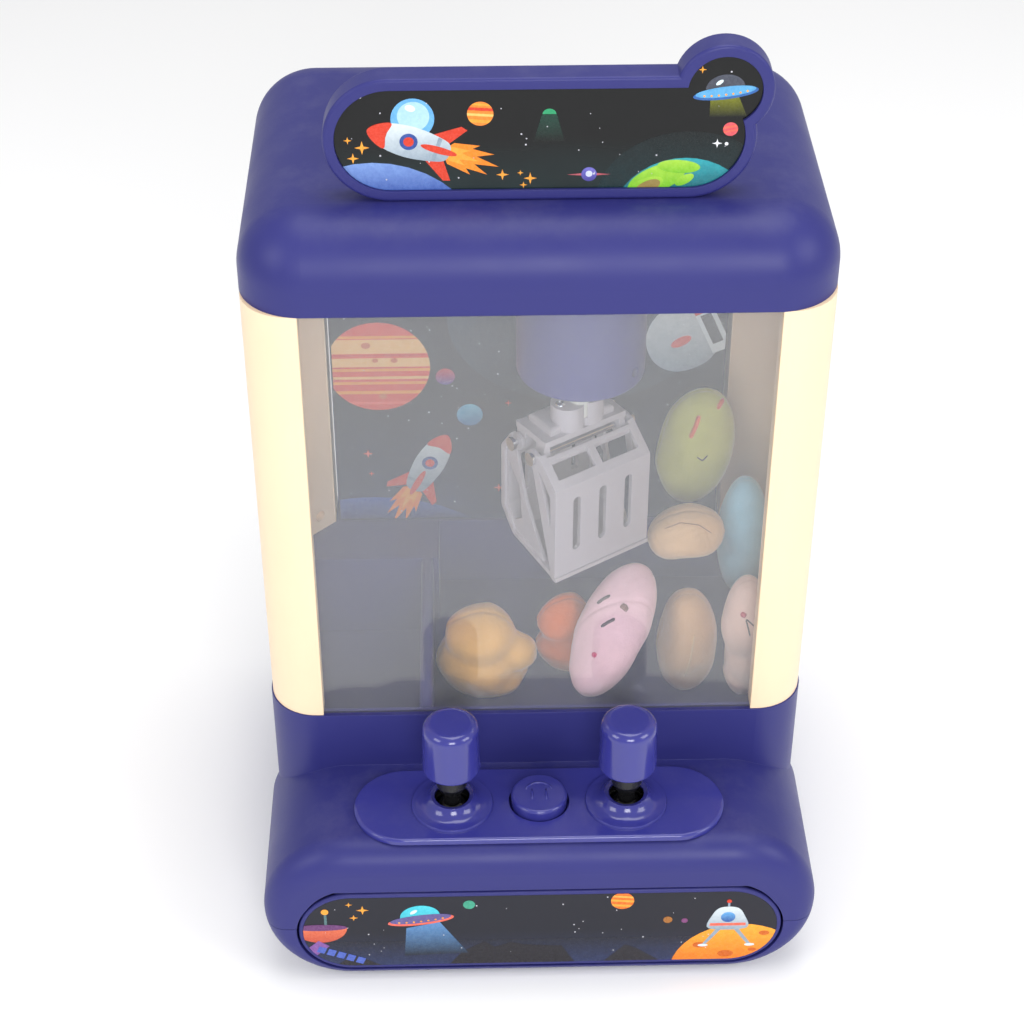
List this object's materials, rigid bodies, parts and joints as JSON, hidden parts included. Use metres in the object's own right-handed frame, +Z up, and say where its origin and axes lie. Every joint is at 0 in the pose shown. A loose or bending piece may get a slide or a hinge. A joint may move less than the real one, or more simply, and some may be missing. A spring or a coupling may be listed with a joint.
{
  "type": "claw crane toy",
  "caption": "Tabletop claw crane toy: rounded cabinet with clear front, driven gantry and two-jaw claw over soft prizes, joysticks, button, prize chute with flap and rear door.",
  "frame": {"origin": "on the table surface, under the middle of the outer box", "axes": "+Z up, +X to the player's right, -Y towards the player (front)"},
  "size_m": [0.206, 0.186, 0.3498],
  "materials": {
    "case_blue": "satin moulded",
    "gloss_blue": "polished",
    "cream_wall": "satin moulded",
    "clear_window": "clear acrylic",
    "claw_grey": "satin moulded",
    "gear_white": "moulded",
    "steel": "ground",
    "bright_pin": "polished",
    "black_part": "moulded",
    "foot_rubber": "moulded",
    "board": "lacquered board",
    "cell_jacket": "printed sleeve",
    "printed_panel": "glossy print",
    "fleece_yellow": "short pile",
    "fleece_orange": "short pile",
    "fleece_pink": "short pile",
    "fleece_brown": "short pile",
    "fleece_tan": "short pile",
    "fleece_peach": "short pile",
    "fleece_blue": "short pile",
    "fleece_green": "short pile"
  },
  "bodies": {
    "root": {"base_lower_shell": "case_blue", "base_upper_shell": "case_blue", "control_plate": "gloss_blue", "joystick_collars": "gloss_blue", "joystick_bases": "black_part", "hinge_pins": "steel", "play_floor": "case_blue", "prize_ramp": "case_blue", "chute_guard": "case_blue", "rear_shelf": "case_blue", "left_side_wall": "cream_wall", "right_side_wall": "cream_wall", "front_window": "clear_window", "hood": "case_blue", "sign_housing": "case_blue", "sign_back_cover": "case_blue", "sign_face": "printed_panel", "rail_frame": "gear_white", "x_rails": "steel", "battery_box": "black_part", "batteries": "cell_jacket", "battery_cover": "case_blue", "housing_screws": "steel", "rubber_feet": "foot_rubber", "circuit_boards": "board", "speaker": "black_part", "plush_yellow": "fleece_yellow", "plush_orange": "fleece_orange", "plush_pink": "fleece_pink", "plush_brown": "fleece_brown", "plush_tan": "fleece_tan", "plush_peach": "fleece_peach", "plush_blue": "fleece_blue", "plush_green": "fleece_green"},
    "bridge": {"gantry_bridge": "gear_white", "cross_rails": "steel", "x_motor": "steel"},
    "x_gear": {"x_pinion": "gear_white"},
    "trolley": {"trolley_carriage": "gear_white", "trolley_housing": "case_blue", "trolley_motors": "steel"},
    "cross_gear": {"cross_pinion": "gear_white"},
    "hoist_gear": {"hoist_pinion": "gear_white"},
    "lift": {"lift_rod": "gear_white"},
    "claw": {"claw_head": "claw_grey", "claw_hinge_pins": "bright_pin"},
    "front_jaw": {"claw_jaw_front": "claw_grey"},
    "rear_jaw": {"claw_jaw_rear": "claw_grey"},
    "gimbal_left": {"joystick_gimbal_left": "black_part"},
    "stick_left": {"joystick_stick_left": "black_part", "joystick_knob_left": "gloss_blue"},
    "gimbal_right": {"joystick_gimbal_right": "black_part"},
    "stick_right": {"joystick_stick_right": "black_part", "joystick_knob_right": "gloss_blue"},
    "button": {"push_button": "gloss_blue"},
    "flap": {"prize_flap": "case_blue", "flap_label": "printed_panel"},
    "door": {"rear_door": "case_blue", "backdrop_card": "printed_panel"},
    "switch": {"power_slider": "black_part"}
  },
  "joints": [
    {"name": "gantry_travel", "type": "slide", "parent": "root", "child": "bridge", "axis": [1, 0, 0], "range_m": [-0.07, 0.034]},
    {"name": "x_gear_spin", "type": "hinge", "parent": "bridge", "child": "x_gear", "pos_m": [0.017, 0.066, 0.2877], "axis": [0, 0, 1], "range_deg": [-810, 400]},
    {"name": "trolley_travel", "type": "slide", "parent": "bridge", "child": "trolley", "axis": [0, 1, 0], "range_m": [-0.014, 0.014]},
    {"name": "cross_gear_spin", "type": "hinge", "parent": "trolley", "child": "cross_gear", "pos_m": [0.03, 0.017, 0.2812], "axis": [0, 0, 1], "range_deg": [-165, 165]},
    {"name": "claw_hoist", "type": "slide", "parent": "trolley", "child": "lift", "axis": [0, 0, -1], "range_m": [0, 0.026], "deforming": ["plush_yellow", "plush_orange", "plush_pink", "plush_brown", "plush_tan", "plush_peach", "plush_blue", "plush_green"]},
    {"name": "hoist_gear_spin", "type": "hinge", "parent": "trolley", "child": "hoist_gear", "pos_m": [0.0088, 0.017, 0.23], "axis": [0, 1, 0], "range_deg": [0, 300]},
    {"name": "claw_swivel", "type": "hinge", "parent": "lift", "child": "claw", "pos_m": [0.017, 0.017, 0.195], "axis": [0, 0, 1], "range_deg": [-90, 90]},
    {"name": "front_jaw_swing", "type": "hinge", "parent": "claw", "child": "front_jaw", "pos_m": [0.01756, 0.01617, 0.174], "axis": [-0.829, -0.5592, 0], "range_deg": [0, 22]},
    {"name": "rear_jaw_swing", "type": "hinge", "parent": "claw", "child": "rear_jaw", "pos_m": [0.01085, 0.02612, 0.174], "axis": [0.829, 0.5592, 0], "range_deg": [0, 22]},
    {"name": "left_stick_fore_aft", "type": "hinge", "parent": "root", "child": "gimbal_left", "pos_m": [-0.0322, -0.069, 0.066], "axis": [1, 0, 0], "range_deg": [-12, 12], "stiffness_Nm_per_rad": 0.03},
    {"name": "left_stick_sideways", "type": "hinge", "parent": "gimbal_left", "child": "stick_left", "pos_m": [-0.0322, -0.069, 0.066], "axis": [0, 1, 0], "range_deg": [-12, 12], "stiffness_Nm_per_rad": 0.03},
    {"name": "right_stick_fore_aft", "type": "hinge", "parent": "root", "child": "gimbal_right", "pos_m": [0.0322, -0.069, 0.066], "axis": [1, 0, 0], "range_deg": [-12, 12], "stiffness_Nm_per_rad": 0.03},
    {"name": "right_stick_sideways", "type": "hinge", "parent": "gimbal_right", "child": "stick_right", "pos_m": [0.0322, -0.069, 0.066], "axis": [0, 1, 0], "range_deg": [-12, 12], "stiffness_Nm_per_rad": 0.03},
    {"name": "button_press", "type": "slide", "parent": "root", "child": "button", "axis": [0, 0, -1], "range_m": [0, 0.003], "stiffness_N_per_m": 200, "springref_m": -0.001},
    {"name": "flap_swing", "type": "hinge", "parent": "root", "child": "flap", "pos_m": [0, -0.09035, 0.0449], "axis": [-1, 0, 0], "range_deg": [0, 50]},
    {"name": "door_swing", "type": "hinge", "parent": "root", "child": "door", "pos_m": [0.0797, 0.0906, 0.18], "axis": [0, 0, -1], "range_deg": [0, 90]},
    {"name": "power_slide", "type": "slide", "parent": "root", "child": "switch", "axis": [1, 0, 0], "range_m": [0, 0.006]}
  ],
  "couplings": [
    {"joint": "x_gear_spin", "follows": "gantry_travel", "rad_per_m": 200},
    {"joint": "cross_gear_spin", "follows": "trolley_travel", "rad_per_m": -200},
    {"joint": "hoist_gear_spin", "follows": "claw_hoist", "rad_per_m": 200},
    {"joint": "rear_jaw_swing", "follows": "front_jaw_swing", "ratio": 1}
  ]
}
